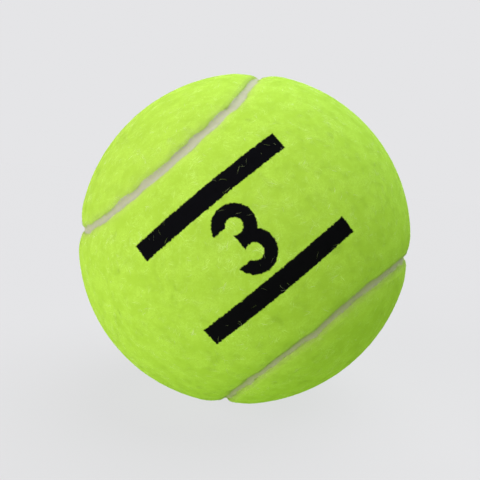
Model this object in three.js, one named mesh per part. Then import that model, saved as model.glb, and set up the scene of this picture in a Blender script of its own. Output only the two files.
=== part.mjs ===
// Padel ball, in millimetres. The ball's centre is the origin, +Z is up, and -Y is the front.
// A felt cover of two interlocking dumbbell panels is cemented on a hollow rubber core.
// The front panel is centred on -Y and the rear panel on +Y. The seam crosses the X and Z axes.
import * as THREE from "three";

// Driving sizes of the whole ball
const BALL_DIAMETER = 65.6;
const LAYER_GAP = 0.3;

// Felt cover
const FELT_THICKNESS = 2.8;
const FELT_SWELL = 0.4;
const EDGE_DROP = 1.05;
const EDGE_ROLL = 4;

// Seam. The curve runs once round the ball, and two faster waves bend it round both panels.
// The first ratio sets how far the lobes reach, and the second how square their ends are.
const SEAM_WAVE_RATIO = 0.2377;
const SEAM_CORNER_RATIO = 0.0625;
const SEAM_WIDTH = 1.7;
const SEAM_DEPTH = 1.1;
const SEAM_MENISCUS = 0.4;

// Cement film under each panel
const CEMENT_THICKNESS = 0.35;

// Rubber core
const CORE_WALL = 3.4;
const BOND_THICKNESS = 0.5;
const BEAD_HEIGHT = 1.4;
const BEAD_REACH = 0.5;

// Middle of a panel's lobe, as a turn from the middle of the panel
const LOBE_MIDDLE = THREE.MathUtils.degToRad(100);

// Steps of the curved forms
const SEAM_STEPS = 96;
const LATHE_STEPS = 48;
const ARC_STEPS = 10;
const ROLL_RINGS = 5;
const CROWN_RINGS = 4;
const UNDERSIDE_RINGS = 4;

// Radii that follow from the driving sizes, from the outside inwards
const crownRadius = BALL_DIAMETER / 2;
const feltUnderRadius = crownRadius - FELT_THICKNESS;
const cementTopRadius = feltUnderRadius - LAYER_GAP;
const cementUnderRadius = cementTopRadius - CEMENT_THICKNESS;
const coreRadius = cementUnderRadius - LAYER_GAP;
const hollowRadius = coreRadius - CORE_WALL;
const stripUnderRadius = coreRadius + LAYER_GAP;
const panelEdge = SEAM_WIDTH / 2 + LAYER_GAP;

// A point of the seam on the unit ball
function seamPoint(t) {
  const slow = 1 - SEAM_WAVE_RATIO;
  const fast = SEAM_WAVE_RATIO;
  return new THREE.Vector3(
    fast * Math.sin(3 * t) - slow * Math.sin(t),
    2 * Math.sqrt(slow * fast) * Math.sin(2 * t) + SEAM_CORNER_RATIO * Math.sin(6 * t),
    -slow * Math.cos(t) - fast * Math.cos(3 * t),
  ).normalize();
}

// The direction that leaves the seam at right angles, on the ball, towards the rear panel
function seamSide(t) {
  const step = 1e-4;
  const along = seamPoint(t + step).sub(seamPoint(t - step));
  return seamPoint(t).cross(along).normalize();
}

// A unit direction beside the seam, with the distance measured over the felt
function besideSeam(t, distance) {
  const turn = distance / crownRadius;
  return seamPoint(t).multiplyScalar(Math.cos(turn)).addScaledVector(seamSide(t), Math.sin(turn));
}

// The felt stands fullest on a panel's shoulders and is pulled thin over its lobe ends.
// The product of x, y and z is largest towards a cube's corners, where it is 1 / sqrt(27).
// The edge rolls down to the seam on a quarter of an ellipse.
function feltRadius(direction, fromEdge) {
  const swell = -FELT_SWELL * Math.sqrt(27) * direction.x * direction.y * direction.z;
  const roll = Math.max(0, 1 - fromEdge / EDGE_ROLL);
  return crownRadius - EDGE_DROP * (1 - Math.sqrt(1 - roll * roll)) + swell * (1 - roll);
}

// A panel's outline and its mid-line. side is 1 for the rear panel and -1 for the front one.
function panelFrame(side) {
  const neck = side > 0 ? Math.PI / 4 : (3 * Math.PI) / 4;
  const lobe = seamPoint(neck + Math.PI / 2).setY(0).normalize();
  return { side, neck, lobe, middle: new THREE.Vector3(0, side, 0) };
}

function stepAngle(frame, index) {
  return frame.neck + (index * 2 * Math.PI) / SEAM_STEPS;
}

// One closed ring of unit directions at a distance inside the panel's edge
function edgeRing(frame, fromEdge) {
  const ring = [];
  for (let i = 0; i < SEAM_STEPS; i += 1) {
    ring.push(besideSeam(stepAngle(frame, i), frame.side * (panelEdge + fromEdge)));
  }
  return ring;
}

// A ring that has shrunk from another one towards the mid-line. Both sides meet at share 1.
function innerRing(frame, ring, share) {
  return ring.map((direction, i) => {
    const turn = LOBE_MIDDLE * Math.sin((i * 2 * Math.PI) / SEAM_STEPS);
    const middle = frame.middle.clone().multiplyScalar(Math.cos(turn));
    middle.addScaledVector(frame.lobe, Math.sin(turn));
    return direction.clone().multiplyScalar(1 - share).addScaledVector(middle, share).normalize();
  });
}

function scaleRing(ring, radius) {
  return ring.map((direction) => direction.clone().multiplyScalar(radius));
}

// Joins closed rings of equal length into a skin. The rings run round it from face to face.
function stitch(rings, flip, closed) {
  const count = rings[0].length;
  const points = rings.flat().flatMap((p) => [p.x, p.y, p.z]);
  const faces = [];
  const spans = closed ? rings.length : rings.length - 1;
  for (let r = 0; r < spans; r += 1) {
    const upper = r * count;
    const lower = ((r + 1) % rings.length) * count;
    for (let i = 0; i < count; i += 1) {
      const next = (i + 1) % count;
      const quad = [upper + i, lower + i, lower + next, upper + next];
      if (flip) quad.reverse();
      faces.push(quad[0], quad[1], quad[2], quad[0], quad[2], quad[3]);
    }
  }
  const geometry = new THREE.BufferGeometry();
  geometry.setAttribute("position", new THREE.Float32BufferAttribute(points, 3));
  geometry.setIndex(faces);
  geometry.computeVertexNormals();
  return geometry;
}

// The rings of a smooth face, from the mid-line out to the edge
function smoothFace(frame, radius) {
  const edge = edgeRing(frame, 0);
  const rings = [];
  for (let k = UNDERSIDE_RINGS; k > 0; k -= 1) {
    rings.push(scaleRing(innerRing(frame, edge, k / UNDERSIDE_RINGS), radius));
  }
  rings.push(scaleRing(edge, radius));
  return rings;
}

// The felt's outer face, from the mid-line out to the edge that rolls down to the seam
function feltFace(frame) {
  const crown = edgeRing(frame, EDGE_ROLL);
  const rings = [];
  for (let k = CROWN_RINGS; k > 0; k -= 1) {
    const ring = innerRing(frame, crown, k / CROWN_RINGS);
    rings.push(ring.map((p) => p.clone().multiplyScalar(feltRadius(p, EDGE_ROLL))));
  }
  for (let k = ROLL_RINGS; k >= 0; k -= 1) {
    const fromEdge = EDGE_ROLL * (1 - Math.cos((k / ROLL_RINGS) * (Math.PI / 2)));
    const ring = edgeRing(frame, fromEdge);
    rings.push(ring.map((p) => p.clone().multiplyScalar(feltRadius(p, fromEdge))));
  }
  return rings;
}

function feltPanel(side) {
  const frame = panelFrame(side);
  const under = smoothFace(frame, feltUnderRadius).reverse();
  return stitch([...feltFace(frame), ...under], side < 0, false);
}

function cementCoat(side) {
  const frame = panelFrame(side);
  const top = smoothFace(frame, cementTopRadius);
  const under = smoothFace(frame, cementUnderRadius).reverse();
  return stitch([...top, ...under], side < 0, false);
}

// A parabola that is deepest in the middle and comes to nothing at half its width on each side
function dip(depth, across, half) {
  return depth * (1 - (across / half) ** 2);
}

// The seam's section: flat sides, a base on the core and a hollow face between the felt edges
function seamStrip() {
  const half = SEAM_WIDTH / 2;
  const face = crownRadius - SEAM_DEPTH;
  const section = [
    [-half, stripUnderRadius],
    [-half, face],
    [-half / 2, face - dip(SEAM_MENISCUS, half / 2, half)],
    [0, face - SEAM_MENISCUS],
    [half / 2, face - dip(SEAM_MENISCUS, half / 2, half)],
    [half, face],
    [half, stripUnderRadius],
    [0, stripUnderRadius],
  ];
  const rear = panelFrame(1);
  const rings = section.map(([across, radius]) => {
    const ring = [];
    for (let i = 0; i < SEAM_STEPS; i += 1) {
      ring.push(besideSeam(stepAngle(rear, i), across).multiplyScalar(radius));
    }
    return ring;
  });
  return stitch(rings, true, true);
}

// An arc of a turned section, from one turn about the centre to another, as radius and height
function arc(radius, from, to) {
  const points = [];
  for (let k = 0; k <= ARC_STEPS; k += 1) {
    const turn = from + ((to - from) * k) / ARC_STEPS;
    points.push(new THREE.Vector2(radius * Math.cos(turn), radius * Math.sin(turn)));
  }
  return points;
}

// A half of the core, turned about Y, with a flat rim beside the bond
function coreHalf(side) {
  const rim = BOND_THICKNESS / 2;
  const outer = arc(coreRadius, Math.asin(rim / coreRadius), Math.PI / 2);
  const inner = arc(hollowRadius, Math.asin(rim / hollowRadius), Math.PI / 2);
  outer[0].y = rim;
  inner[0].y = rim;
  outer[ARC_STEPS].x = 0;
  inner[ARC_STEPS].x = 0;
  const section = [...inner.reverse(), ...outer];
  if (side < 0) {
    section.forEach((p) => p.setY(-p.y));
    section.reverse();
  }
  return new THREE.LatheGeometry(section, LATHE_STEPS);
}

// The bond between the rims. It is buffed flush outside and squeezed into a bead inside.
function coreBond() {
  const rim = BOND_THICKNESS / 2;
  const bead = BEAD_HEIGHT / 2;
  const wall = hollowRadius - LAYER_GAP;
  const outside = Math.sqrt(coreRadius ** 2 - rim ** 2);
  const section = [
    new THREE.Vector2(outside, -rim),
    new THREE.Vector2(outside, rim),
    new THREE.Vector2(wall, rim),
    new THREE.Vector2(wall, bead),
    new THREE.Vector2(wall - dip(BEAD_REACH, bead / 2, bead), bead / 2),
    new THREE.Vector2(wall - BEAD_REACH, 0),
    new THREE.Vector2(wall - dip(BEAD_REACH, bead / 2, bead), -bead / 2),
    new THREE.Vector2(wall, -bead),
    new THREE.Vector2(wall, -rim),
    new THREE.Vector2(outside, -rim),
  ];
  return new THREE.LatheGeometry(section, LATHE_STEPS);
}

// Finishes
const feltFinish = { color: 0xb4e03c, roughness: 0.95, metalness: 0 };
const seamFinish = { color: 0xb9b596, roughness: 0.8, metalness: 0 };
const cementFinish = { color: 0xcdbb8c, roughness: 0.6, metalness: 0 };
const rubberFinish = { color: 0x3b3d40, roughness: 0.85, metalness: 0 };

const ball = new THREE.Group();
ball.name = "padel_ball";

function add(name, geometry, finish) {
  const mesh = new THREE.Mesh(geometry, new THREE.MeshStandardMaterial(finish));
  mesh.name = name;
  ball.add(mesh);
}

add("core_half_front", coreHalf(-1), rubberFinish);
add("core_half_rear", coreHalf(1), rubberFinish);
add("core_bond_ring", coreBond(), cementFinish);
add("cement_coat_front", cementCoat(-1), cementFinish);
add("cement_coat_rear", cementCoat(1), cementFinish);
add("felt_panel_front", feltPanel(-1), feltFinish);
add("felt_panel_rear", feltPanel(1), feltFinish);
add("seam_strip", seamStrip(), seamFinish);

export default ball;
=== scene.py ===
# %% [markdown]
# # A padel ball
# A padel ball is a hollow rubber core in a felt cover. The cover is two dumbbell-shaped panels
# that interlock round the ball, and one pale cemented seam runs between them without an end.
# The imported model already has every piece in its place, so this lesson keeps it as a fixed frame.
# The felt, its loose nap and the seam are then modelled around that frame, because those are
# the soft and uneven surfaces that a plain solid can't show.

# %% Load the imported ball
import math

import bpy
import numpy as np
from mathutils import Matrix
from mathutils import Vector


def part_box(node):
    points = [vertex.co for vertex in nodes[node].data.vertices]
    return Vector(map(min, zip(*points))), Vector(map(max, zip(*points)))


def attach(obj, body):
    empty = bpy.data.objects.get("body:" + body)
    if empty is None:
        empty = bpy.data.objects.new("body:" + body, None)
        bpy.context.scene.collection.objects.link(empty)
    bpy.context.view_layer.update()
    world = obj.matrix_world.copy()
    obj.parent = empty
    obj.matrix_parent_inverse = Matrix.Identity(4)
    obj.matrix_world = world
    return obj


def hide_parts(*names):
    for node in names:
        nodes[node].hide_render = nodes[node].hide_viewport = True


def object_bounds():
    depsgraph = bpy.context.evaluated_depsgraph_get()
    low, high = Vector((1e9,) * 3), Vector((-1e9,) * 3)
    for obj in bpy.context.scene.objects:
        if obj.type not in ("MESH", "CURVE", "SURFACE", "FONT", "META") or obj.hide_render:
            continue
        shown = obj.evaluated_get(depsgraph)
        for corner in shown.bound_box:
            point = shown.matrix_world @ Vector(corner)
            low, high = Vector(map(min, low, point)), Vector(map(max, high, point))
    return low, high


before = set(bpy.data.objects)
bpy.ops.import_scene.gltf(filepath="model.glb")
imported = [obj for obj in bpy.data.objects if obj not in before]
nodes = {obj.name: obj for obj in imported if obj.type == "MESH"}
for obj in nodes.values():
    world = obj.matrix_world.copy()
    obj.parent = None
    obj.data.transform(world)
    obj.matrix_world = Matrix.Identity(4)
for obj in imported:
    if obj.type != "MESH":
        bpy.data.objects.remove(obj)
MM = 0.001
cad_low, cad_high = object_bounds()
crown_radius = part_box("felt_panel_rear")[1].y
print("packed nodes:", sorted(nodes))
print("ball radius in mm:", round(crown_radius / MM, 2))

# %% [markdown]
# ## Camera
# The camera comes first, so that every later step can be looked at from the right place.
# The ball nearly fills the view and its seam is seen from close by, so the camera stands only
# a few radii away. The picture's ball is 165.5 pixels in radius, which then settles the lens.

# %% Camera at the photograph's angle
PICTURE_SIZE = 480
# The ball's radius and centre in the picture, in pixels
BALL_PIXELS = 165.5
BALL_CENTRE = (244.45, 238.8)
# The camera's distance from the ball's centre, in radii
CAMERA_REACH = 3.2
AZIMUTH = math.radians(3.4)
ELEVATION = math.radians(6.4)
ROLL = math.radians(5.1)
SENSOR_WIDTH = 36.0
CLIP_START = 5 * MM


def towards(azimuth, elevation):
    """The direction of an azimuth, counted from the front to the right, and an elevation."""
    level = math.cos(elevation)
    return Vector((
        math.sin(azimuth) * level,
        -math.cos(azimuth) * level,
        math.sin(elevation),
    ))


camera_data = bpy.data.cameras.new("camera")
camera = bpy.data.objects.new("camera", camera_data)
bpy.context.scene.collection.objects.link(camera)
bpy.context.scene.camera = camera
back = towards(AZIMUTH, ELEVATION)
level_right = Vector((math.cos(AZIMUTH), math.sin(AZIMUTH), 0.0))
level_up = back.cross(level_right)
right = level_right * math.cos(ROLL) + level_up * math.sin(ROLL)
up = level_up * math.cos(ROLL) - level_right * math.sin(ROLL)
turn = Matrix((right, up, back)).transposed().to_4x4()
camera.matrix_world = Matrix.Translation(back * CAMERA_REACH * crown_radius) @ turn
outline_slope = 1 / math.sqrt(CAMERA_REACH ** 2 - 1)
camera_data.sensor_width = SENSOR_WIDTH
camera_data.lens = BALL_PIXELS / outline_slope / PICTURE_SIZE * SENSOR_WIDTH
camera_data.shift_x = (PICTURE_SIZE / 2 - BALL_CENTRE[0]) / PICTURE_SIZE
camera_data.shift_y = (BALL_CENTRE[1] - PICTURE_SIZE / 2) / PICTURE_SIZE
camera_data.clip_start = CLIP_START
print("lens in mm:", round(camera_data.lens, 2))

# %% [markdown]
# ## Floor and light
# Balls are often photographed on a light table: a pale sheet that glows a little from below and
# takes the darkness out of the shadow. Here it is one large plane with a faint glow, pale grey to
# the camera and greenish to the felt, because shaded felt looks greener than lit felt does. A wide
# soft lamp hangs above the ball and another stands low at the front left, each with a slight tint.
# Both are suns, because a sun lights the whole floor alike and keeps it one tone. The world is
# that same tone to the camera, so no horizon shows, and only a faint fill to everything else.

# %% The glowing floor
# Metres, so wide that its edge is lost in the world's tone
FLOOR_SIZE = 60.0
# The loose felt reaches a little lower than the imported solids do
FLOOR_DROP = 0.06 * MM
# Its own grey is dark, so that the shadow on it stays faint
FLOOR_GREY = (0.0694, 0.0654, 0.0663, 1.0)
FLOOR_GLOW = 0.88
# The colour of the glow on the felt, and the one that the camera sees
FLOOR_BOUNCE = (0.628, 0.8, 0.333, 1.0)
BACKGROUND_GREY = (0.783, 0.783, 0.799, 1.0)


def put(tree, kind, inputs=None, **settings):
    """Adds a node with its settings. An input is a plain value or the socket that feeds it."""
    node = tree.nodes.new(kind)
    for name, value in settings.items():
        setattr(node, name, value)
    for socket, value in (inputs or {}).items():
        if isinstance(value, bpy.types.NodeSocket):
            tree.links.new(value, node.inputs[socket])
        else:
            node.inputs[socket].default_value = value
    return node


def new_material(name):
    """A material with a Principled shader, and nothing on it yet."""
    material = bpy.data.materials.new(name)
    material.use_nodes = True
    tree = material.node_tree
    tree.nodes.clear()
    shader = put(tree, "ShaderNodeBsdfPrincipled")
    put(tree, "ShaderNodeOutputMaterial", {"Surface": shader.outputs["BSDF"]})
    return material, tree, shader


def link(tree, source, shader, socket):
    tree.links.new(source, shader.inputs[socket])


def calc(tree, operation, *values):
    """The result of one Math node."""
    return put(tree, "ShaderNodeMath", dict(enumerate(values)), operation=operation).outputs[0]


def mix(tree, factor, first, second):
    """The result of one Mix node, which is the first colour at 0 and the second at 1."""
    return put(tree, "ShaderNodeMix", {0: factor, 6: first, 7: second}, data_type="RGBA").outputs[2]


def seen_directly(tree):
    """1 where the camera sees a surface itself, in a reflection or through glass, and otherwise 0."""
    path = put(tree, "ShaderNodeLightPath").outputs
    plain = calc(tree, "MAXIMUM", path["Is Camera Ray"], path["Is Glossy Ray"])
    return calc(tree, "MAXIMUM", plain, path["Is Transmission Ray"])


bpy.ops.object.select_all(action="DESELECT")
bpy.ops.mesh.primitive_plane_add(size=FLOOR_SIZE, location=(0, 0, cad_low.z - FLOOR_DROP))
floor = bpy.context.active_object
floor.name = "floor"
floor_material, floor_tree, floor_shader = new_material("pale floor")
floor_shader.inputs["Base Color"].default_value = FLOOR_GREY
floor_shader.inputs["Roughness"].default_value = 1.0
floor_shader.inputs["Specular IOR Level"].default_value = 0.0
glow = mix(floor_tree, seen_directly(floor_tree), FLOOR_BOUNCE, BACKGROUND_GREY)
link(floor_tree, glow, floor_shader, "Emission Color")
floor_shader.inputs["Emission Strength"].default_value = FLOOR_GLOW
floor.data.materials.append(floor_material)
print("floor at mm:", round(floor.location.z / MM, 2))

# %% Lamps and world
FILL_STRENGTH = 0.03
LAMP_SPREAD = math.radians(70)
# Name, azimuth and elevation in degrees, the light it gives a surface that faces it, and its tint
LAMPS = (
    ("overhead lamp", 128, 68, 1.22, (0.91, 1.0, 0.97)),
    ("front left lamp", 315, 3, 1.45, (1.12, 1.0, 1.23)),
)

for name, azimuth, elevation, strength, tint in LAMPS:
    lamp_data = bpy.data.lights.new(name, "SUN")
    lamp_data.energy = strength * math.pi
    lamp_data.angle = LAMP_SPREAD
    lamp_data.color = tint
    lamp = bpy.data.objects.new(name, lamp_data)
    toward_lamp = towards(math.radians(azimuth), math.radians(elevation))
    lamp.rotation_euler = toward_lamp.to_track_quat("Z", "Y").to_euler()
    bpy.context.scene.collection.objects.link(lamp)

world = bpy.data.worlds.new("studio")
bpy.context.scene.world = world
world.use_nodes = True
sky = world.node_tree
sky.nodes.clear()
fill = put(sky, "ShaderNodeBackground", {"Color": (1, 1, 1, 1), "Strength": FILL_STRENGTH})
seen = put(sky, "ShaderNodeBackground", {"Color": BACKGROUND_GREY, "Strength": 1.0})
mixed = put(sky, "ShaderNodeMixShader", {
    0: seen_directly(sky),
    1: fill.outputs[0],
    2: seen.outputs[0],
})
put(sky, "ShaderNodeOutputWorld", {"Surface": mixed.outputs[0]})
bpy.context.scene.view_settings.view_transform = "Standard"
print("lamps:", [lamp[0] for lamp in LAMPS], "fill:", FILL_STRENGTH)

# %% [markdown]
# ## The seam's path
# Everything on the cover depends on how far it is from the seam: the felt rolls down towards
# it, the nap ends there, and the felt's rim is painted duller and more beige, partly for cement
# soaked into it and partly as painted shade of its rolled edge. The seam is one closed curve
# that waves up and down as it goes round, so it is written once here, by the same two ratios as
# the imported solids, and a small helper measures from it.

# %% The seam curve and the distance from it
SEAM_WAVE_RATIO = 0.2377
SEAM_CORNER_RATIO = 0.0625
SEAM_SAMPLES = 1536
# Directions that are measured at a time, to spare memory
CHUNK = 8192


def unit(rows):
    return rows / np.linalg.norm(rows, axis=1, keepdims=True)


def from_seam(directions):
    """Signed distance over the felt, positive on the rear panel, and the nearest seam sample."""
    nearest = np.empty(len(directions), int)
    for start in range(0, len(directions), CHUNK):
        part = directions[start:start + CHUNK].astype(np.float32)
        nearest[start:start + CHUNK] = np.argmax(part @ seam.T.astype(np.float32), axis=1)
    aside = np.einsum("ij,ij->i", directions, seam_to_rear[nearest])
    onward = np.einsum("ij,ij->i", directions, seam[nearest])
    return np.arctan2(aside, onward) * crown_radius, nearest


seam_turn = np.arange(SEAM_SAMPLES) * 2 * np.pi / SEAM_SAMPLES
slow = 1 - SEAM_WAVE_RATIO
wave_height = 2 * math.sqrt(slow * SEAM_WAVE_RATIO)
seam = unit(np.stack([
    SEAM_WAVE_RATIO * np.sin(3 * seam_turn) - slow * np.sin(seam_turn),
    wave_height * np.sin(2 * seam_turn) + SEAM_CORNER_RATIO * np.sin(6 * seam_turn),
    -slow * np.cos(seam_turn) - SEAM_WAVE_RATIO * np.cos(3 * seam_turn),
], axis=1))
seam_along = np.roll(seam, -1, axis=0) - np.roll(seam, 1, axis=0)
seam_to_rear = unit(np.cross(seam, seam_along))
seam_steps = np.linalg.norm(np.roll(seam, -1, axis=0) - seam, axis=1)
print("seam length in mm:", round(seam_steps.sum() * crown_radius / MM, 1))

# %% [markdown]
# ## Felt panels
# Each panel is a blank of needled felt, stamped as a dumbbell, stretched over the core and
# cemented down. It could be sculpted from a sphere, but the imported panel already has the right
# outline and the rolled edge. So a merged copy of it is the start, and a Subdivision Surface makes
# it round. Its edge then gets the unevenness of a stamped and hand-laid blank, beside a seam that
# wanders a little from its plain curve.

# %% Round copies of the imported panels
MERGE_DISTANCE = 0.001 * MM
FELT_LEVELS = 3


def choose(piece):
    bpy.ops.object.select_all(action="DESELECT")
    piece.select_set(True)
    bpy.context.view_layer.objects.active = piece


def apply_all(piece):
    choose(piece)
    for modifier in list(piece.modifiers):
        bpy.ops.object.modifier_apply(modifier=modifier.name)


def merged_copy(node_name, piece_name):
    """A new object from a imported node, with its loose triangles merged into quads."""
    piece = bpy.data.objects.new(piece_name, nodes[node_name].data.copy())
    piece.data.name = piece_name
    piece.data.materials.clear()
    bpy.context.scene.collection.objects.link(piece)
    choose(piece)
    bpy.ops.mesh.customdata_custom_splitnormals_clear()
    bpy.ops.object.mode_set(mode="EDIT")
    bpy.ops.mesh.select_all(action="SELECT")
    bpy.ops.mesh.remove_doubles(threshold=MERGE_DISTANCE)
    bpy.ops.mesh.tris_convert_to_quads(face_threshold=math.pi, shape_threshold=math.pi)
    bpy.ops.object.mode_set(mode="OBJECT")
    return piece


def rounded(piece, levels):
    smooth = piece.modifiers.new("round", "SUBSURF")
    smooth.levels = levels
    smooth.render_levels = levels
    apply_all(piece)
    bpy.ops.object.shade_smooth()


felt_panels = {}
for side in ("front", "rear"):
    panel = merged_copy(f"felt_panel_{side}", f"felt_{side}")
    rounded(panel, FELT_LEVELS)
    felt_panels[side] = panel
    print(panel.name, "faces:", len(panel.data.polygons))

# %% The seam's wandering line and its wobbling edges
# Each felt edge has its own wobble, of waves with random shares in it
WOBBLE = 0.065 * MM
WOBBLE_CYCLES = (5, 14, 23, 31, 44, 58, 83)
WAVE_SHARE = (0.5, 1.0)
EDGE_SEEDS = {"front": 11, "rear": 12}
# The seam's own line lies towards the front panel and waves. For each wave: how many go round
# the ball, their height, and their phase in degrees.
SEAM_OFFSET = -0.52 * MM
MEANDER = (
    (1, 0.09 * MM, 5),
    (7, 0.12 * MM, 45),
    (12, 0.11 * MM, 101),
    (17, 0.09 * MM, 147),
    (22, 0.07 * MM, 99),
    (29, 0.06 * MM, -17),
    (38, 0.07 * MM, 88),
    (50, 0.05 * MM, 25),
)


def wobble_line(seed):
    """A smooth random line along the seam, in metres, that closes on itself."""
    draw = np.random.default_rng(seed)
    line = np.zeros(SEAM_SAMPLES)
    for cycles in WOBBLE_CYCLES:
        phase = draw.uniform(0, 2 * np.pi)
        line += draw.uniform(*WAVE_SHARE) * np.sin(cycles * seam_turn + phase)
    return WOBBLE * line / line.std()


edge_lines = {side: wobble_line(seed) for side, seed in EDGE_SEEDS.items()}
seam_drift = np.full(SEAM_SAMPLES, SEAM_OFFSET)
for cycles, height, phase in MEANDER:
    seam_drift += height * np.sin(cycles * seam_turn + math.radians(phase))
print("seam drifts in mm:", round(seam_drift.min() / MM, 2), "to", round(seam_drift.max() / MM, 2))

# %% Felt edges moved in to the seam
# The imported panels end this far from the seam's plain curve, and the felt closes in from there
PANEL_EDGE = 1.15 * MM
SEAM_CLOSE = 0.635 * MM
EDGE_FADE = 1.6 * MM
# The seam is widest towards this side of the ball
WIDE_SIDE = np.array((-0.72, -0.2, 0.66))
SEAM_SPREAD = 0.065 * MM
TO_PANEL = {"front": -1, "rear": 1}


def read_points(piece):
    points = np.empty(len(piece.data.vertices) * 3)
    piece.data.vertices.foreach_get("co", points)
    return points.reshape(-1, 3)


def write_points(piece, points):
    piece.data.vertices.foreach_set("co", points.ravel())
    piece.data.update()


def edge_shift(directions, nearest, inside, side):
    """How far the felt lies outside its plain place, away from the seam. It fades inwards."""
    plain = TO_PANEL[side] * seam_drift[nearest] - SEAM_CLOSE
    at_edge = plain + SEAM_SPREAD * (directions @ WIDE_SIDE) + edge_lines[side][nearest]
    return at_edge * np.exp(-np.clip(inside, 0, None) / EDGE_FADE)


def from_edge(directions, side):
    """Distance inside a panel's uneven edge, and the way there from the seam."""
    signed, nearest = from_seam(directions)
    away = seam_to_rear[nearest] * TO_PANEL[side]
    inside = signed * TO_PANEL[side] - PANEL_EDGE
    return inside - edge_shift(directions, nearest, inside, side), away


for side, panel in felt_panels.items():
    points = read_points(panel)
    radii = np.linalg.norm(points, axis=1, keepdims=True)
    directions = points / radii
    signed, nearest = from_seam(directions)
    away = seam_to_rear[nearest] * TO_PANEL[side]
    shift = edge_shift(directions, nearest, signed * TO_PANEL[side] - PANEL_EDGE, side)
    write_points(panel, unit(directions + away * shift[:, None] / crown_radius) * radii)
    print(panel.name, "edge wobbles by up to mm:", round(np.abs(edge_lines[side]).max() / MM, 2))

# %% [markdown]
# ## Height of the felt
# The felt stands fullest on a panel's shoulders and rolls down to the seam on a quarter of an
# ellipse. A Subdivision Surface cuts the corner between two rings of points, so its crown lies a
# little too low. One helper gives the true height and the way the surface faces. The panels
# settle on it here, and the loose fibres are laid on it later. A faint Displace then adds the soft
# lumps of needled wool.

# %% Panels settled at the felt's height
EDGE_ROLL = 4.0 * MM
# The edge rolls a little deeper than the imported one
EDGE_DROP = 1.1 * MM
FELT_SWELL = 0.4 * MM
# The product of x, y and z is largest towards a cube's corners, where it is 1 / sqrt(27)
CORNER_SCALE = math.sqrt(27)
# At its foot the roll stands upright, so its slope is taken no nearer to that than here
STEEPEST_ROLL = 0.97
# A point near the felt's height settles on it. One far below it is on the panel's underside.
SETTLE_ALL = 0.3 * MM
SETTLE_NONE = 0.6 * MM
# How far the rim's duller colour reaches into the felt: cement soaked in, and painted shade of the
# rolled edge
RIM_SOAK_AND_SHADE_FADE = 0.5 * MM


def felt_surface(directions, side):
    """The felt's radius at each direction, the way it faces there, and the distance from its edge."""
    inside, away = from_edge(directions, side)
    roll = np.clip(1 - inside / EDGE_ROLL, 0, 1)
    swell = -FELT_SWELL * CORNER_SCALE * np.prod(directions, axis=1)
    height = crown_radius - EDGE_DROP * (1 - np.sqrt(1 - roll ** 2)) + swell * (1 - roll)
    lean = np.minimum(roll, STEEPEST_ROLL)
    slope = EDGE_DROP / EDGE_ROLL * lean / np.sqrt(1 - lean ** 2)
    return height, unit(directions - away * slope[:, None]), inside


# The share of the rim's colour, partly soaked cement and partly painted shade of the rolled edge
def rim_share(inside):
    return np.exp(-np.clip(inside, 0, None) / RIM_SOAK_AND_SHADE_FADE)


def write_values(mesh, name, values):
    attribute = mesh.attributes.new(name, "FLOAT", "POINT")
    attribute.data.foreach_set("value", values.astype(np.float32))


for side, panel in felt_panels.items():
    points = read_points(panel)
    radii = np.linalg.norm(points, axis=1)
    directions = points / radii[:, None]
    height, _, inside = felt_surface(directions, side)
    short = height - radii
    share = np.clip((SETTLE_NONE - short) / (SETTLE_NONE - SETTLE_ALL), 0, 1)
    write_points(panel, directions * (radii + short * share)[:, None])
    # The rim's share, for its soaked and painted-shade colour
    write_values(panel.data, "rim", rim_share(inside))
    print(panel.name, "crown raised by up to mm:", round((short * share).max() / MM, 3))

# %% Soft lumps in the felt
# A noise runs from 0 to 1 and stays near its middle
NOISE_MIDDLE = 0.5
# The lumps are on the outer face alone, which lies less deep than this below the crown
OUTER_DEPTH = 1.5 * MM
# Name, size and height of each layer of lumps
WOOL_LUMPS = (("wool lumps", 5.0 * MM, 0.02 * MM),)


def raise_lumps(piece, layers, group_name=""):
    """Displaces a piece by layers of soft noise, and applies them."""
    for name, size, height in layers:
        texture = bpy.data.textures.get(name) or bpy.data.textures.new(name, "CLOUDS")
        texture.noise_scale = size
        lumps = piece.modifiers.new(name, "DISPLACE")
        lumps.texture = texture
        lumps.texture_coords = "LOCAL"
        lumps.strength = height
        lumps.mid_level = NOISE_MIDDLE
        lumps.vertex_group = group_name
    apply_all(piece)


for panel in felt_panels.values():
    depth = crown_radius - np.linalg.norm(read_points(panel), axis=1)
    outer = panel.vertex_groups.new(name="outer")
    outer.add(np.nonzero(depth < OUTER_DEPTH)[0].tolist(), 1.0, "REPLACE")
    raise_lumps(panel, WOOL_LUMPS, outer.name)
    print(panel.name, "triangles:", 2 * len(panel.data.polygons))

# %% [markdown]
# ## Seam
# The seam is vulcanised cement that fills the joint between the stamped edges and creeps up them.
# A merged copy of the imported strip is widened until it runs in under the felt, so that no gap
# shows beside it. Its face then settles on a hollow that climbs both felt edges, and a fine
# Displace gives it the grain of cured cement.

# %% The seam strip
# Points further from the middle than STRIP_INNER move outwards by STRIP_TUCK
STRIP_INNER = 0.6 * MM
STRIP_TUCK = 0.9 * MM
STRIP_LEVELS = 3
# Points less deep than FACE_DEPTH are the face, which is hollow and climbs towards the felt
FACE_DEPTH = 2.2 * MM
HOLLOW_DEPTH = 0.98 * MM
CLIMB_DEPTH = 0.68 * MM
CLIMB_PLACE = 0.9 * MM
CEMENT_LUMPS = (
    ("cement waves", 3.0 * MM, 0.06 * MM),
    ("cement grain", 0.5 * MM, 0.02 * MM),
)

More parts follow.
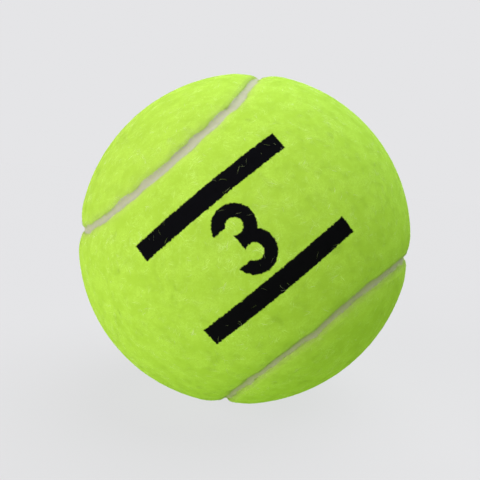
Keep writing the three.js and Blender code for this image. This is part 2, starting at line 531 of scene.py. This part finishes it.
strip = merged_copy("seam_strip", "seam_cement")
points = read_points(strip)
radii = np.linalg.norm(points, axis=1, keepdims=True)
directions = points / radii
signed, nearest = from_seam(directions)
at_side = np.abs(signed) > STRIP_INNER
tuck = np.where(at_side, np.sign(signed) * STRIP_TUCK, 0) / crown_radius
write_points(strip, unit(directions + seam_to_rear[nearest] * tuck[:, None]) * radii)
rounded(strip, STRIP_LEVELS)
points = read_points(strip)
radii = np.linalg.norm(points, axis=1)
directions = points / radii[:, None]
signed, nearest = from_seam(directions)
climb = np.clip((signed - seam_drift[nearest]) / CLIMB_PLACE, -1, 1) ** 2
face = crown_radius - HOLLOW_DEPTH + (HOLLOW_DEPTH - CLIMB_DEPTH) * climb
on_face = crown_radius - radii < FACE_DEPTH
write_points(strip, directions * np.where(on_face, face, radii)[:, None])
raise_lumps(strip, CEMENT_LUMPS)
print(strip.name, "triangles:", 2 * len(strip.data.polygons))

# %% [markdown]
# ## Nap
# Needled felt has a nap: loose ends of wool and nylon that lie in small tufts over each other,
# and a fringe of cut ends that lean over the seam. Hair curves would show them here but not in
# an exported model, so each end is a real fibre of a few faces. One fibre is modelled, and the
# copies are bent along the ball and pressed flat as they are laid. They take the felt's own
# normals, because a matted fibre is lit as the mat around it is.

# %% One fibre, modelled as a three-sided rod with a pointed tip
FIBRE_SPANS = 3
FIBRE_HALF = 0.5
FIBRE_UV_GAP = 0.05

bpy.ops.object.select_all(action="DESELECT")
bpy.ops.mesh.primitive_cylinder_add(vertices=3, radius=1, depth=1, rotation=(0, math.pi / 2, 0))
fibre = bpy.context.active_object
bpy.ops.object.transform_apply(location=True, rotation=True, scale=True)
# Only the long edges are cut, so the choice is made among edges
bpy.ops.object.mode_set(mode="EDIT")
bpy.ops.mesh.select_mode(type="EDGE")
bpy.ops.mesh.select_all(action="DESELECT")
bpy.ops.object.mode_set(mode="OBJECT")
for edge in fibre.data.edges:
    near, far = (fibre.data.vertices[i].co.x for i in edge.vertices)
    edge.select = abs(near - far) > FIBRE_HALF
bpy.ops.object.mode_set(mode="EDIT")
bpy.ops.mesh.subdivide(number_cuts=FIBRE_SPANS - 1)
bpy.ops.mesh.select_mode(type="VERT")
bpy.ops.mesh.select_all(action="DESELECT")
bpy.ops.object.mode_set(mode="OBJECT")
# The points at the far end become one, the tip
tip_place = max(vertex.co.x for vertex in fibre.data.vertices)
for vertex in fibre.data.vertices:
    vertex.select = vertex.co.x > tip_place / 2
bpy.ops.object.mode_set(mode="EDIT")
bpy.ops.mesh.merge(type="CENTER")
bpy.ops.mesh.select_all(action="SELECT")
bpy.ops.mesh.normals_make_consistent(inside=False)
bpy.ops.mesh.quads_convert_to_tris()
bpy.ops.uv.smart_project(island_margin=FIBRE_UV_GAP)
bpy.ops.object.mode_set(mode="OBJECT")
fibre_points = read_points(fibre)
fibre_step = np.rint((fibre_points[:, 0] + FIBRE_HALF) * FIBRE_SPANS).astype(int)
fibre_faces = np.array([list(face.vertices) for face in fibre.data.polygons])
fibre_uv = np.array([loop.uv for loop in fibre.data.uv_layers.active.data])
bpy.data.objects.remove(fibre)
print("fibre faces:", len(fibre_faces), "points:", len(fibre_points))

# %% Copies of the fibre, bent along the felt
# A fibre's radius lies between these two, and tapers over its steps from root to tip
FIBRE_WIDE = (0.015 * MM, 0.03 * MM)
FIBRE_FLATNESS = 0.45
FIBRE_TAPER = np.array((0.7, 1.0, 0.85, 0.4))
# The usual turn of a fibre between its ends, in radians
FIBRE_CURL = 0.8
ROOT_DEPTH = 0.02 * MM


def bend_fibres(side, draw, roots, headings, lengths, lifts):
    """The points and normals of a fibre at each root, and its share of the rim's soaked and
    painted-shade colour.
    """
    count = len(roots)
    length = draw.uniform(*lengths, count)
    # The square keeps most of the fibres low
    lift = lifts[0] + (lifts[1] - lifts[0]) * draw.random(count) ** 2
    wide = draw.uniform(*FIBRE_WIDE, count)
    curl = draw.normal(0, FIBRE_CURL, count)
    tip = draw.random(count)
    asides = np.cross(roots, headings)
    flat = np.zeros((count, 3))
    points = np.empty((count, len(fibre_points), 3))
    normals = np.empty_like(points)
    for step in range(FIBRE_SPANS + 1):
        share = step / FIBRE_SPANS
        bend = (curl * (share - FIBRE_HALF))[:, None]
        ahead = headings * np.cos(bend) + asides * np.sin(bend)
        over = unit(roots + flat / crown_radius)
        height, facing, inside = felt_surface(over, side)
        if step == 0:
            rim = rim_share(inside)
        arch = 4 * share * (1 - share)
        rise = lift * (arch + tip * share) - ROOT_DEPTH * (1 - share)
        centre = over * height[:, None] + facing * rise[:, None]
        across = unit(np.cross(facing, ahead))
        for corner in np.nonzero(fibre_step == step)[0]:
            up_part = facing * (fibre_points[corner, 1] * FIBRE_FLATNESS)
            section = up_part - across * fibre_points[corner, 2]
            points[:, corner] = centre + section * (wide * FIBRE_TAPER[step])[:, None]
            normals[:, corner] = facing
        flat = flat + ahead * (length / FIBRE_SPANS)[:, None]
    return points, normals, rim


print("points along a fibre:", FIBRE_SPANS + 1)

# %% One piece from many fibres
# This share of the fibres is clean, which means undyed
CLEAN_SHARE = 0.03
# A UV map of this name, where each fibre has a cell of its own
BAKE_MAP = "OFBake"
UV_CELLS = 112
UV_MARGIN = 0.12


def fibre_piece(name, points, normals, traits):
    """A piece of many fibres, with their normals, their bake map and the traits that colour them."""
    count = len(points)
    first_point = np.arange(count)[:, None, None] * len(fibre_points)
    mesh = bpy.data.meshes.new(name)
    faces = (fibre_faces[None] + first_point).reshape(-1, 3)
    mesh.from_pydata(points.reshape(-1, 3).tolist(), [], faces.tolist())
    cells = np.stack([np.arange(count) % UV_CELLS, np.arange(count) // UV_CELLS], axis=1)
    uv = cells[:, None] + UV_MARGIN + (1 - 2 * UV_MARGIN) * fibre_uv[None]
    layer = mesh.uv_layers.new(name=BAKE_MAP)
    layer.data.foreach_set("uv", (uv / UV_CELLS).astype(np.float32).ravel())
    for trait, values in traits.items():
        write_values(mesh, trait, np.repeat(values, len(fibre_points)))
    piece = bpy.data.objects.new(name, mesh)
    bpy.context.scene.collection.objects.link(piece)
    choose(piece)
    bpy.ops.object.shade_smooth()
    mesh.normals_split_custom_set_from_vertices(normals.reshape(-1, 3))
    print(name, "fibres:", count, "triangles:", len(faces))
    return piece


def lay_fibres(name, side, draw, roots, headings, tones, lengths, lifts):
    points, normals, rim = bend_fibres(side, draw, roots, headings, lengths, lifts)
    clean = draw.random(len(roots)) < CLEAN_SHARE
    return fibre_piece(name, points, normals, {"tone": tones, "clean": clean, "rim": rim})


print("fibres that a bake map has room for:", UV_CELLS ** 2)

# %% Nap of each panel
NAP_LAYERS = 3
NAP_FIBRES = 12400
TUFT_FIBRES = 5
TUFT_SCATTER = 0.1 * MM
TUFT_STRAY = 0.25
TUFT_TRIES = 8000
NAP_LENGTH = (0.6 * MM, 1.8 * MM)
NAP_LIFT = (0.005 * MM, 0.035 * MM)
NAP_SEED = 100


def lay_nap(name, side, seed):
    """Loose ends in small tufts that lie in all directions on a panel."""
    draw = np.random.default_rng(seed)
    tries = unit(draw.normal(size=(TUFT_TRIES, 3)))
    tufts = tries[from_edge(tries, side)[0] > 0][:NAP_FIBRES // TUFT_FIBRES]
    ways = np.repeat(draw.normal(size=tufts.shape), TUFT_FIBRES, axis=0)
    tones = np.repeat(draw.random(len(tufts)), TUFT_FIBRES)
    roots = np.repeat(tufts, TUFT_FIBRES, axis=0)
    roots = unit(roots + draw.normal(0, TUFT_SCATTER / crown_radius, roots.shape))
    headings = unit(np.cross(roots, ways + TUFT_STRAY * draw.normal(size=ways.shape)))
    return lay_fibres(name, side, draw, roots, headings, tones, NAP_LENGTH, NAP_LIFT)


nap_pieces = {"front": [], "rear": []}
for number, (side, pieces) in enumerate(nap_pieces.items()):
    for layer in range(1, NAP_LAYERS + 1):
        pieces.append(lay_nap(f"nap_{side}_{layer}", side, NAP_SEED * layer + number))

# %% Fringe of each panel
FRINGE_FIBRES = 9500
FRINGE_BAND = (-0.05 * MM, 0.5 * MM)
FRINGE_LENGTH = (0.3 * MM, 1.1 * MM)
FRINGE_LIFT = (0.02 * MM, 0.16 * MM)
FRINGE_STRAY = 0.9
FRINGE_SCATTER = 0.12 * MM
FRINGE_SEED = 900
# How much denser the fringe grows where the seam is narrow
OVERGROWTH = 0.6


def lay_fringe(name, side, seed):
    """Cut ends along a panel's edge that lean over the seam, densest where the seam is narrow."""
    draw = np.random.default_rng(seed)
    chance = seam_steps * (1 - OVERGROWTH * seam @ WIDE_SIDE)
    sample = draw.choice(SEAM_SAMPLES, FRINGE_FIBRES, p=chance / chance.sum())
    away = seam_to_rear[sample] * TO_PANEL[side]
    inside = draw.uniform(*FRINGE_BAND, FRINGE_FIBRES)
    aside = PANEL_EDGE + inside + edge_shift(seam[sample], sample, inside, side)
    scatter = draw.normal(0, FRINGE_SCATTER, away.shape)
    roots = unit(seam[sample] + (away * aside[:, None] + scatter) / crown_radius)
    leaning = FRINGE_STRAY * draw.normal(size=roots.shape) - away
    level = leaning - roots * np.sum(leaning * roots, axis=1, keepdims=True)
    tones = draw.random(FRINGE_FIBRES)
    return lay_fibres(name, side, draw, roots, unit(level), tones, FRINGE_LENGTH, FRINGE_LIFT)


for number, (side, pieces) in enumerate(nap_pieces.items()):
    pieces.append(lay_fringe(f"fringe_{side}", side, FRINGE_SEED + number))

# %% [markdown]
# ## Printed mark
# A ball carries a printed mark on one panel, and this one has a plain ball number between two
# bars. Real ink sits in the felt, so the mark is a mask in the shader and no piece of its own.
# Felt and nap both need it, so it is one node group that turns Object coordinates into ink. Each
# shape in it is a distance in millimetres that is negative inside the shape.

# %% Shapes of the mark
# Millimetres, apart from the hook, which is a share of the loop's radius
BAR_PLACE = 8.2
BAR_HALF_HEIGHT = 1.5
BAR_HALF_LENGTH = 13.5
LOOP_RADIUS = 2.35
LOOP_HALF_STROKE = 1.05
LOOP_OPENING = 0.9
LOOP_HOOK = 1.25


def bar_shape(tree, u, v):
    side_gap = calc(tree, "SUBTRACT", calc(tree, "ABSOLUTE", u), BAR_HALF_LENGTH)
    middle_gap = calc(tree, "ABSOLUTE", calc(tree, "SUBTRACT", v, BAR_PLACE))
    return calc(tree, "MAXIMUM", side_gap, calc(tree, "SUBTRACT", middle_gap, BAR_HALF_HEIGHT))


def numeral_shape(tree, u, v):
    """A 3: one loop mirrored about the middle, with its left side opened up to the hooks."""
    loop_v = calc(tree, "SUBTRACT", v, LOOP_RADIUS)
    squares = calc(tree, "ADD", calc(tree, "MULTIPLY", u, u), calc(tree, "MULTIPLY", loop_v, loop_v))
    off_loop = calc(tree, "SUBTRACT", calc(tree, "SQRT", squares), LOOP_RADIUS)
    loop = calc(tree, "SUBTRACT", calc(tree, "ABSOLUTE", off_loop), LOOP_HALF_STROKE)
    left = calc(tree, "SUBTRACT", calc(tree, "MULTIPLY", u, -1.0), LOOP_OPENING)
    below_hook = calc(tree, "SUBTRACT", LOOP_RADIUS * LOOP_HOOK, v)
    return calc(tree, "MAXIMUM", loop, calc(tree, "MINIMUM", left, below_hook))


print("bars in mm:", 2 * BAR_HALF_LENGTH, "by", 2 * BAR_HALF_HEIGHT)

# %% Node group for the ink
# The mark is centred where the front panel faces the photograph's camera, and runs up to the right
MARK_OUT = back
MARK_ALONG = Vector((1, 0, 1))
INK_EDGE_SCALE = 2600.0
INK_EDGE_SHAKE = 0.5 * MM
INK_EDGE_SOFT = 0.08
FINE_DETAIL = 3.0


def new_group(name, inputs, outputs):
    group = bpy.data.node_groups.new(name, "ShaderNodeTree")
    for socket, kind in inputs.items():
        group.interface.new_socket(name=socket, in_out="INPUT", socket_type=kind)
    for socket, kind in outputs.items():
        group.interface.new_socket(name=socket, in_out="OUTPUT", socket_type=kind)
    return group, put(group, "NodeGroupInput").outputs


def along_axis(tree, vector, axis):
    """The distance along an axis in millimetres."""
    node = put(tree, "ShaderNodeVectorMath", {0: vector, 1: axis / MM}, operation="DOT_PRODUCT")
    return node.outputs["Value"]


mark_along = (MARK_ALONG - MARK_OUT * MARK_ALONG.dot(MARK_OUT)).normalized()
mark_up = MARK_OUT.cross(mark_along)
ink, ink_inputs = new_group("printed mark", {"Vector": "NodeSocketVector"}, {"Ink": "NodeSocketFloat"})
place = ink_inputs["Vector"]
speckle = put(ink, "ShaderNodeTexNoise", {
    "Vector": place,
    "Scale": INK_EDGE_SCALE,
    "Detail": FINE_DETAIL,
})
centred = put(ink, "ShaderNodeVectorMath", {
    0: speckle.outputs["Color"],
    1: (NOISE_MIDDLE, NOISE_MIDDLE, NOISE_MIDDLE),
}, operation="SUBTRACT")
shaken = put(ink, "ShaderNodeVectorMath", {
    0: centred.outputs[0],
    1: (INK_EDGE_SHAKE, INK_EDGE_SHAKE, INK_EDGE_SHAKE),
    2: place,
}, operation="MULTIPLY_ADD").outputs[0]
across_mark = along_axis(ink, shaken, mark_along)
up_mark = calc(ink, "ABSOLUTE", along_axis(ink, shaken, mark_up))
bars = bar_shape(ink, across_mark, up_mark)
numeral = numeral_shape(ink, across_mark, up_mark)
inked = put(ink, "ShaderNodeMapRange", {
    "Value": calc(ink, "MINIMUM", bars, numeral),
    "From Min": INK_EDGE_SOFT,
    "From Max": -INK_EDGE_SOFT,
})
in_front = calc(ink, "GREATER_THAN", along_axis(ink, place, MARK_OUT), 0.0)
put(ink, "NodeGroupOutput", {"Ink": calc(ink, "MULTIPLY", inked.outputs[0], in_front)})
print("mark along:", [round(x, 3) for x in mark_along], "up:", [round(x, 3) for x in mark_up])

# %% [markdown]
# ## Felt finish
# Felt is dyed wool and nylon: fluorescent yellow-green, matt, with a pale bloom where light grazes
# the fibre ends. The mat of fibres breaks the colour, the dye lies in soft clouds, and along the
# seam the felt is painted duller and more beige: partly cement that has soaked in, partly painted
# shade of the rolled edge. Felt and nap share the clouds and this rim, so both come from one node
# group. The bloom is a rough coat that the ink takes away.

# %% Node group for the dye and the rim's soaked cement and painted shade
FELT_DEEP = (0.38, 0.615, 0.045, 1.0)
# The rim's colour: cement soaked into the felt's edge, and painted shade of its roll
FELT_SOAKED_SHADED_RIM = (0.515, 0.60, 0.21, 1.0)
# A noise scale counts its waves in a metre
CLOUD_SCALE = 380.0
CLOUD_DETAIL = 5.0
CLOUD_GRAIN = 0.7
CLOUD_SHARE = 0.9
CLOUD_REACH = 0.1
NOISE_REACH = 0.2
RIM_SOAK_AND_SHADE_SHARE = 0.7


def spread(tree, value, low=0.0, high=1.0, reach=NOISE_REACH):
    """A noise value, which stays near its middle, spread over the whole range from low to high."""
    node = put(tree, "ShaderNodeMapRange", {
        "Value": value,
        "From Min": NOISE_MIDDLE - reach,
        "From Max": NOISE_MIDDLE + reach,
        "To Min": low,
        "To Max": high,
    })
    return node.outputs[0]


dye_and_shaded_rim, dye_inputs = new_group(
    "dye and rim",
    {"Body": "NodeSocketColor", "Vector": "NodeSocketVector", "Rim": "NodeSocketFloat"},
    {"Color": "NodeSocketColor"},
)
cloud = put(dye_and_shaded_rim, "ShaderNodeTexNoise", {
    "Vector": dye_inputs["Vector"],
    "Scale": CLOUD_SCALE,
    "Detail": CLOUD_DETAIL,
    "Roughness": CLOUD_GRAIN,
})
cloudy = spread(dye_and_shaded_rim, cloud.outputs["Fac"], reach=CLOUD_REACH)
clouded = mix(dye_and_shaded_rim, calc(dye_and_shaded_rim, "MULTIPLY", cloudy, CLOUD_SHARE), dye_inputs["Body"], FELT_DEEP)
# The rim is painted duller: soaked cement, and painted shade of the rolled edge
rim_soak_and_shade = calc(dye_and_shaded_rim, "MULTIPLY", dye_inputs["Rim"], RIM_SOAK_AND_SHADE_SHARE)
put(dye_and_shaded_rim, "NodeGroupOutput", {"Color": mix(dye_and_shaded_rim, rim_soak_and_shade, clouded, FELT_SOAKED_SHADED_RIM)})
print("dye nodes:", len(dye_and_shaded_rim.nodes))

# %% Felt material
FELT_MAIN = (0.482, 0.75, 0.084, 1.0)
INK_BLACK = (0.004, 0.004, 0.005, 1.0)
MAT_SCALE = 4200.0
MAT_DISTORTION = 1.2
MAT_ROUGHNESS = (0.85, 1.0)
MAT_BUMP = 0.2
MAT_DEPTH = 0.05 * MM
BLOOM = 0.3
BLOOM_ROUGHNESS = 0.9


def object_place(tree):
    return put(tree, "ShaderNodeTexCoord").outputs["Object"]


def attribute_value(tree, name):
    return put(tree, "ShaderNodeAttribute", attribute_name=name).outputs["Fac"]


def dye_and_print(tree, shader, body, place, unprinted=0.0):
    """Dyes a felt colour, paints its rim for soaked cement and shade, inks it and takes the bloom off
    the ink.
    """
    dyed_and_rim_shaded = put(tree, "ShaderNodeGroup", {
        "Body": body,
        "Vector": place,
        "Rim": attribute_value(tree, "rim"),
    }, node_tree=dye_and_shaded_rim).outputs["Color"]
    printed = put(tree, "ShaderNodeGroup", {"Vector": place}, node_tree=ink).outputs["Ink"]
    printed = calc(tree, "MULTIPLY", printed, calc(tree, "SUBTRACT", 1.0, unprinted))
    link(tree, mix(tree, printed, dyed_and_rim_shaded, INK_BLACK), shader, "Base Color")
    bloom = calc(tree, "MULTIPLY", calc(tree, "SUBTRACT", 1.0, printed), BLOOM)
    link(tree, bloom, shader, "Coat Weight")
    shader.inputs["Coat Roughness"].default_value = BLOOM_ROUGHNESS
    shader.inputs["Specular IOR Level"].default_value = 0.0


felt_material, tree, shader = new_material("felt")
place = object_place(tree)
mat = put(tree, "ShaderNodeTexNoise", {
    "Vector": place,
    "Scale": MAT_SCALE,
    "Detail": FINE_DETAIL,
    "Distortion": MAT_DISTORTION,
})
body = mix(tree, spread(tree, mat.outputs["Fac"]), FELT_DEEP, FELT_MAIN)
dye_and_print(tree, shader, body, place)
link(tree, spread(tree, mat.outputs["Fac"], *MAT_ROUGHNESS), shader, "Roughness")
bump = put(tree, "ShaderNodeBump", {
    "Height": mat.outputs["Fac"],
    "Strength": MAT_BUMP,
    "Distance": MAT_DEPTH,
})
link(tree, bump.outputs[0], shader, "Normal")
for panel in felt_panels.values():
    panel.data.materials.append(felt_material)
print("felt nodes:", len(tree.nodes))

# %% Nap material
FELT_PALE = (0.672, 0.92, 0.24, 1.0)
FELT_UNDYED = (0.74, 0.82, 0.48, 1.0)
TONE_POWER = 2.2
# How much of a clean fibre the ink leaves bare
CLEAN_LEFT = 0.3
NAP_ROUGHNESS = (0.75, 0.95)

nap_material, tree, shader = new_material("nap")
tone = attribute_value(tree, "tone")
body = mix(tree, calc(tree, "POWER", tone, TONE_POWER), FELT_MAIN, FELT_PALE)
clean = attribute_value(tree, "clean")
body = mix(tree, clean, body, FELT_UNDYED)
unprinted = calc(tree, "MULTIPLY", clean, CLEAN_LEFT)
dye_and_print(tree, shader, body, object_place(tree), unprinted)
link(tree, spread(tree, tone, *NAP_ROUGHNESS), shader, "Roughness")
for pieces in nap_pieces.values():
    for nap in pieces:
        nap.data.materials.append(nap_material)
print("nap nodes:", len(tree.nodes))

# %% [markdown]
# ## Seam, cement and rubber finishes
# The cured seam is a matt grey beige with a fine grain. Cement film and rubber core are out of
# sight inside the ball, and still get the finish that they would show on an opened one. All three
# are cured rubber, so one node group gives them their grain.

# %% Node group for the grain of cured rubber
GRAIN_DETAIL = 4.0
GRAIN_UNEVEN = 0.12

grain, grain_inputs = new_group(
    "fine grain",
    {"Vector": "NodeSocketVector", "Scale": "NodeSocketFloat", "Gloss": "NodeSocketFloat"},
    {"Spots": "NodeSocketFloat", "Roughness": "NodeSocketFloat"},
)
noise = put(grain, "ShaderNodeTexNoise", {
    "Vector": grain_inputs["Vector"],
    "Scale": grain_inputs["Scale"],
    "Detail": GRAIN_DETAIL,
})
spots = spread(grain, noise.outputs["Fac"])
matt = calc(grain, "SUBTRACT", 1.0, grain_inputs["Gloss"])
uneven = calc(grain, "MULTIPLY", calc(grain, "SUBTRACT", spots, NOISE_MIDDLE), GRAIN_UNEVEN)
put(grain, "NodeGroupOutput", {"Spots": spots, "Roughness": calc(grain, "ADD", matt, uneven)})
print("grain nodes:", len(grain.nodes))

# %% Seam, cement and rubber materials
GRAIN_BUMP = 0.4
RUBBER_SPECULAR = 0.15
# Name, darker and paler colour, gloss, grains in a metre and the grain's depth
CURED_RUBBERS = (
    ("seam cement", (0.41, 0.42, 0.275, 1.0), (0.45, 0.46, 0.31, 1.0), 0.2, 900.0, 0.05 * MM),
    ("cement film", (0.45, 0.34, 0.14, 1.0), (0.62, 0.50, 0.26, 1.0), 0.45, 500.0, 0.04 * MM),
    ("core rubber", (0.03, 0.03, 0.033, 1.0), (0.065, 0.065, 0.07, 1.0), 0.2, 800.0, 0.05 * MM),
)

cured = {}
for name, dark, pale, gloss, scale, depth in CURED_RUBBERS:
    cured[name], tree, shader = new_material(name)
    grained = put(tree, "ShaderNodeGroup", {
        "Vector": object_place(tree),
        "Scale": scale,
        "Gloss": gloss,
    }, node_tree=grain).outputs
    link(tree, mix(tree, grained["Spots"], dark, pale), shader, "Base Color")
    link(tree, grained["Roughness"], shader, "Roughness")
    shader.inputs["Specular IOR Level"].default_value = RUBBER_SPECULAR
    bump = put(tree, "ShaderNodeBump", {
        "Height": grained["Spots"],
        "Strength": GRAIN_BUMP,
        "Distance": depth,
    })
    link(tree, bump.outputs[0], shader, "Normal")

strip.data.materials.append(cured["seam cement"])
finishes = {
    "core_half_front": "core rubber",
    "core_half_rear": "core rubber",
    "core_bond_ring": "cement film",
    "cement_coat_front": "cement film",
    "cement_coat_rear": "cement film",
}
for node_name, finish in finishes.items():
    nodes[node_name].data.materials.clear()
    nodes[node_name].data.materials.append(cured[finish])
print("finished nodes:", sorted(finishes))

# %% [markdown]
# ## Handing the pieces to the frame
# Every new piece rides on the ball's one body, and the imported panels and strip that they replace are
# hidden.

for side, panel in felt_panels.items():
    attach(panel, "root")
    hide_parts(f"felt_panel_{side}")
    for nap in nap_pieces[side]:
        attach(nap, "root")
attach(strip, "root")
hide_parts("seam_strip")
print("pieces on each panel:", {side: len(pieces) for side, pieces in nap_pieces.items()})
